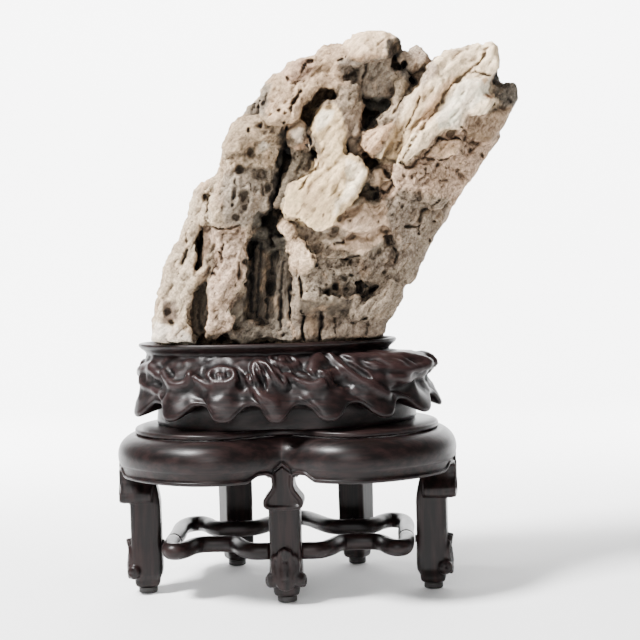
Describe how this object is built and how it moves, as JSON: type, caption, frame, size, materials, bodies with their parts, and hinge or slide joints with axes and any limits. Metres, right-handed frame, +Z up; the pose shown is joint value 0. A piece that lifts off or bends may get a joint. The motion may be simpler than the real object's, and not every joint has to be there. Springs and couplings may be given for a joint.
{
  "type": "scholars rock on stand",
  "caption": "Leaning weathered quartz scholar's rock seated in a carved wooden base on a small lobed stool with scroll feet.",
  "frame": {"origin": "on the surface it stands on, under the middle of the whole object's box", "axes": "+Z up, -Y towards the rock's face, +X to the right of a viewer of that face"},
  "size_m": [0.2839, 0.1854, 0.3807],
  "materials": {
    "rock": "rough weathered quartz",
    "rosewood": "satin polish",
    "pad_black": "blackened"
  },
  "bodies": {
    "root": {"rock": "rock", "carved_base": "rosewood", "top_panel": "rosewood", "apron_front_left": "rosewood", "apron_front_right": "rosewood", "apron_side_left": "rosewood", "apron_side_right": "rosewood", "apron_back": "rosewood", "leg_front": "rosewood", "leg_left": "rosewood", "leg_right": "rosewood", "leg_back_left": "rosewood", "leg_back_right": "rosewood", "rail_front_left": "rosewood", "rail_front_right": "rosewood", "rail_back_left": "rosewood", "rail_back_right": "rosewood", "peg_left": "rosewood", "peg_right": "rosewood", "peg_back_left": "rosewood", "peg_back_right": "rosewood", "pad_front": "pad_black", "pad_left": "pad_black", "pad_right": "pad_black", "pad_back_left": "pad_black", "pad_back_right": "pad_black"}
  },
  "joints": []
}
